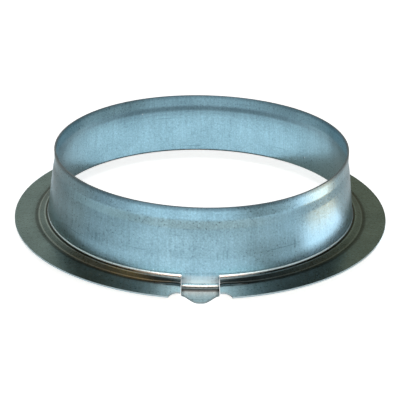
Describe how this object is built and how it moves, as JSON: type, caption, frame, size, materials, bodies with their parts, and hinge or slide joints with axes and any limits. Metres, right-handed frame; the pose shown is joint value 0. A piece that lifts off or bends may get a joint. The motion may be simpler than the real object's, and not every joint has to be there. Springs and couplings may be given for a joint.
{
  "type": "furnace duct collar",
  "caption": "Round galvanised steel collar that joins a furnace casing to a round duct: short tapered wall with a straight rim band, flat flange and a locking tongue cut from it.",
  "frame": {"origin": "on the duct's axis, level with the underside of the locking tongue, which is the lowest point", "axes": "+Z along the duct, from the casing towards the rim; -Y towards the locking tongue; +X to the right of someone who faces the tongue"},
  "size_m": [0.127, 0.1262, 0.0266],
  "materials": {
    "galvanised_steel": "satin zinc coating, lightly drawn and scuffed"
  },
  "bodies": {
    "root": {"duct_collar": "galvanised_steel"}
  },
  "joints": []
}
